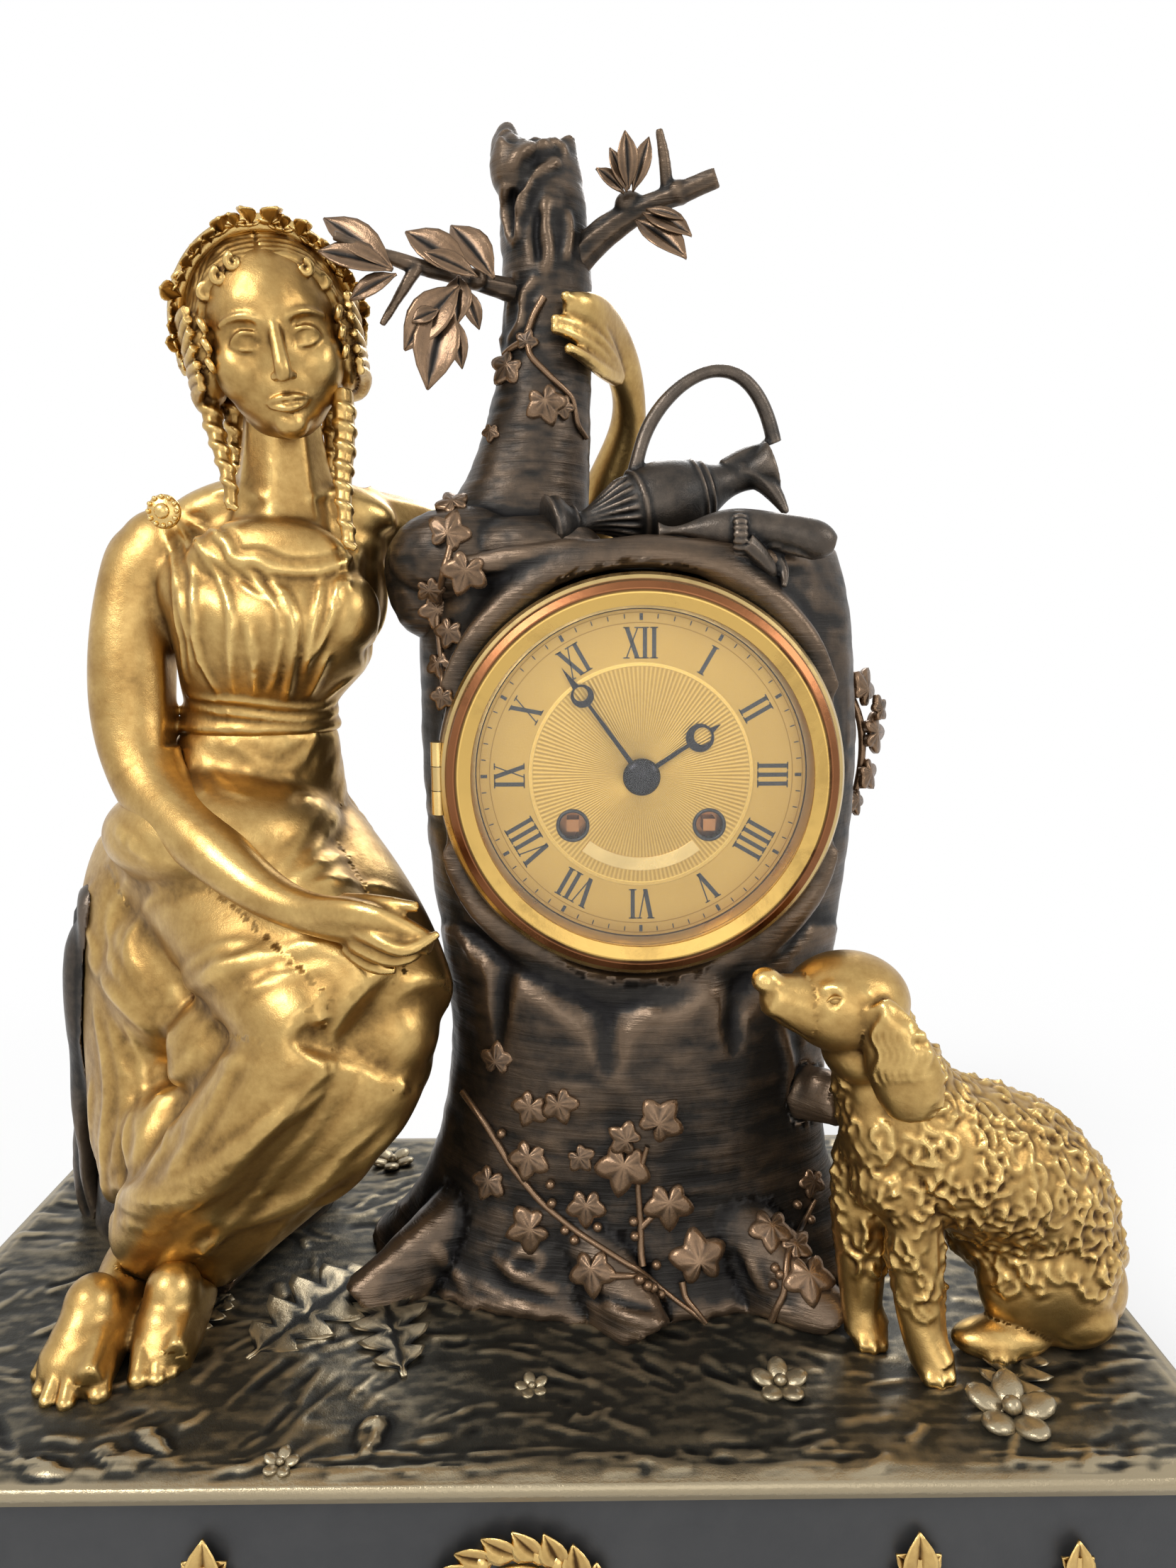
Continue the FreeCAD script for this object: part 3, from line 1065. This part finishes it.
    def hand(label, length, moon, turn_angle, back_of, hub, bore):
        """A hand with a pierced ring near its tip, turned clockwise from twelve."""
        hand_thick, width = size("hand_thickness"), size("hand_width")
        moon_y = length * 0.74
        blade_points = [(-width * 0.35, hub * 0.8), (width * 0.35, hub * 0.8), (width * 0.22, moon_y), (-width * 0.22, moon_y)]
        tip_points = [(-width * 0.5, moon_y + moon * 0.8), (width * 0.5, moon_y + moon * 0.8), (0, length)]
        shape = prism(blade_points, -back_of - hand_thick, hand_thick)
        shape = shape.fuse([prism(tip_points, -back_of - hand_thick, hand_thick),
                            disc(hub, -back_of - hand_thick, hand_thick),
                            disc(moon, -back_of - hand_thick, hand_thick, 0, moon_y)])
        shape = shape.cut(disc(moon * 0.62, -back_of - hand_thick - overrun, hand_thick + 2 * overrun, 0, moon_y + moon * 0.22))
        shape = shape.cut(disc(bore, -back_of - hand_thick - overrun, hand_thick + 2 * overrun))
        turn = FreeCAD.Matrix()
        turn.rotateZ(-math.radians(turn_angle))
        shape.transformShape(turn, True)
        clock_piece(label, shape)

    hand(label="hour_hand", length=size("hour_hand_length"), moon=size("hour_moon_radius"), turn_angle=57,
         back_of=size("dial_set_back"), hub=hour_pipe + wheel, bore=hour_pipe)
    hand(label="minute_hand", length=size("minute_hand_length"), moon=size("minute_moon_radius"), turn_angle=-36,
         back_of=minute_front - size("hand_thickness"), hub=pipe + wheel, bore=pipe)
    cap_back, cap_radius, cap_height = minute_front, size("cap_radius"), size("cap_height")
    dome = Part.makeSphere(cap_radius, Vector(0, 0, 0))
    matrix = FreeCAD.Matrix()
    matrix.scale(1, 1, cap_height / cap_radius)
    dome = dome.transformGeometry(matrix).common(disc(cap_radius + overrun, -cap_height - overrun, cap_height + overrun))
    dome.translate(Vector(0, 0, cap_back))
    slot = box_between(Vector(-cap_radius, -fit * 6, cap_back + cap_height * 0.6),
                       Vector(cap_radius, fit * 6, cap_back + cap_height + overrun))
    clock_piece("hand_cap", dome.cut(slot))

    # anchor with its pallets and its crutch, and the pendulum on the same axis
    ax, ay = anchor_spot
    spread, drop = tip * 0.78, tip * 0.72
    pallet_y = escape_spot[1] + tip + radius * 1.6
    arms = prism([(ax - spread - wheel, pallet_y - drop * 0.3), (ax - spread, pallet_y - drop * 0.3), (ax - radius, ay - radius * 2),
                  (ax + radius, ay - radius * 2), (ax + spread, pallet_y - drop * 0.3), (ax + spread + wheel, pallet_y - drop * 0.3),
                  (ax + radius * 2, ay + radius), (ax - radius * 2, ay + radius)], escape_front, wheel)
    swing_front = behind + size("pendulum_offset")
    crutch_front = behind + radius
    rod = size("pendulum_rod_radius")
    crutch_drop = size("pendulum_length") * 0.28
    crutch = box_between(Vector(ax - radius / 2, ay - crutch_drop, -crutch_front - radius),
                         Vector(ax + radius / 2, ay, -crutch_front))
    fork = []
    for side in (-1, 1):
        low, high = sorted((side * (rod + fit * 2), side * (rod + radius)))
        fork.append(box_between(Vector(low, ay - crutch_drop - radius, -swing_front - rod),
                                Vector(high, ay - crutch_drop, -crutch_front)))
    yoke = box_between(Vector(-rod - radius, ay - crutch_drop - radius, -crutch_front - radius),
                       Vector(rod + radius, ay - crutch_drop, -crutch_front))
    shape = arms.fuse([arbor(anchor_spot, front - thick, crutch_front + radius), crutch, yoke] + fork)
    clock_piece("escapement_anchor", shape.removeSplitter())
    bob_drop = size("pendulum_length")
    lowest = ay - bob_drop
    chop = Part.makeCylinder(radius * 1.6, 2 * rod, Vector(0, ay, -swing_front - rod))
    staff = Part.makeCylinder(rod, bob_drop, Vector(0, lowest, -swing_front), Vector(0, 1, 0))
    staff = staff.fuse(chop).cut(Part.makeCylinder(radius * 0.8 + fit, 4 * rod, Vector(0, ay, -swing_front - 2 * rod)))
    bob = disc(size("bob_radius"), swing_front - size("bob_thickness") / 2, size("bob_thickness"), 0, lowest)
    bob = bob.cut(Part.makeCylinder(rod, bob_drop, Vector(0, lowest, -swing_front), Vector(0, 1, 0)))
    clock_piece("pendulum", Part.makeCompound([staff, bob]))
    cheek = radius * 1.6
    pin = Part.makeCylinder(radius * 0.8, 4 * rod + radius, Vector(0, ay, -swing_front - 2 * rod - radius))
    bridge = box_between(Vector(-cheek, ay + cheek + radius, -swing_front - 2 * rod - radius), Vector(cheek, ay + cheek * 2 + radius, -behind))
    post = box_between(Vector(-cheek, ay - cheek, -swing_front - 2 * rod - radius), Vector(cheek, ay + cheek * 2 + radius, -swing_front - 2 * rod))
    foot = box_between(Vector(-cheek, ay + cheek + fit * 4, -behind - radius), Vector(cheek, ay + cheek * 2 + radius, -behind))
    clock_piece("suspension_cock", bridge.fuse([post, pin, foot]).removeSplitter())

    # bell on its post behind the back plate, and the hammer beside its rim
    bell, bell_wall, bell_depth = size("bell_radius"), size("bell_wall"), size("bell_depth")
    bell_front = swing_front - bell_depth * 0.2
    cup = disc(bell, bell_front, bell_depth, *bell_spot)
    cup = cup.cut(disc(bell - bell_wall, bell_front - overrun, bell_depth - bell_wall + overrun, *bell_spot))
    cup = cup.cut(disc(radius, bell_front, bell_depth + overrun, *bell_spot))
    clock_piece("strike_bell", cup)
    post_end = bell_front + bell_depth
    stand = arbor(bell_spot, behind, post_end + radius)
    collar = disc(radius * 2.2, behind, post_end - bell_wall - behind, *bell_spot)
    nut = disc(radius * 2.2, post_end, radius, *bell_spot)
    clock_piece("bell_stand", stand.fuse([collar, nut]).removeSplitter())
    hx, hy = hammer_spot
    head_radius = size("hammer_radius")
    reach = bell + head_radius + size("pivot_clearance") * 10
    head_x = bell_spot[0] - bell * 0.2
    head_y = bell_spot[1] + math.sqrt(reach ** 2 - (bell * 0.2) ** 2)
    shank = prism([(hx, hy - radius), (head_x, head_y - radius), (head_x, head_y + radius), (hx, hy + radius)],
                  behind + radius, wheel)
    head = disc(head_radius, behind + radius, bell_front + bell_depth * 0.5 - behind, head_x, head_y)
    tail_end = pin_spot[1] + size("strike_module") * PIN_TEETH * 0.4 + radius
    tail = box_between(Vector(hx - radius / 2, tail_end, -pin_front - 2 * wheel), Vector(hx + radius / 2, hy, -pin_front - wheel))
    shape = arbor(hammer_spot, front - thick, behind + radius + wheel).fuse([shank, head, tail])
    clock_piece("strike_hammer", shape.removeSplitter())
    x, y = strike_spot
    notches = disc(size("bell_radius") * 0.65, behind + wheel, wheel, x, y)
    for number in range(12):
        spot = from_spot(strike_spot, size("bell_radius") * 0.65, 2 * math.pi * number / 12)
        notches = notches.cut(disc(radius, behind, thick * 2, *spot))
    clock_piece("count_wheel", notches.cut(arbor(strike_spot, behind, behind + thick * 3, radius * 1.9)))


build_plinth()
stump_shape, trunk_shape = build_tree()
build_figure(trunk_shape, stump_shape)
build_dog()
build_case()
build_movement()

doc.recompute()
for thing in doc.Objects:
    if any(state in thing.State for state in ("Invalid", "Error")):
        raise SystemExit(f"{thing.Name} did not compute: {thing.State}")
for label, thing in pieces.items():
    if thing.Shape.isNull() or not thing.Shape.isValid():
        raise SystemExit(f"{label} has no sound shape")

os.makedirs("parts", exist_ok=True)
for label, thing in pieces.items():
    thing.Shape.exportStep(os.path.join("parts", f"{label}.step"))
print(len(pieces), "pieces written")
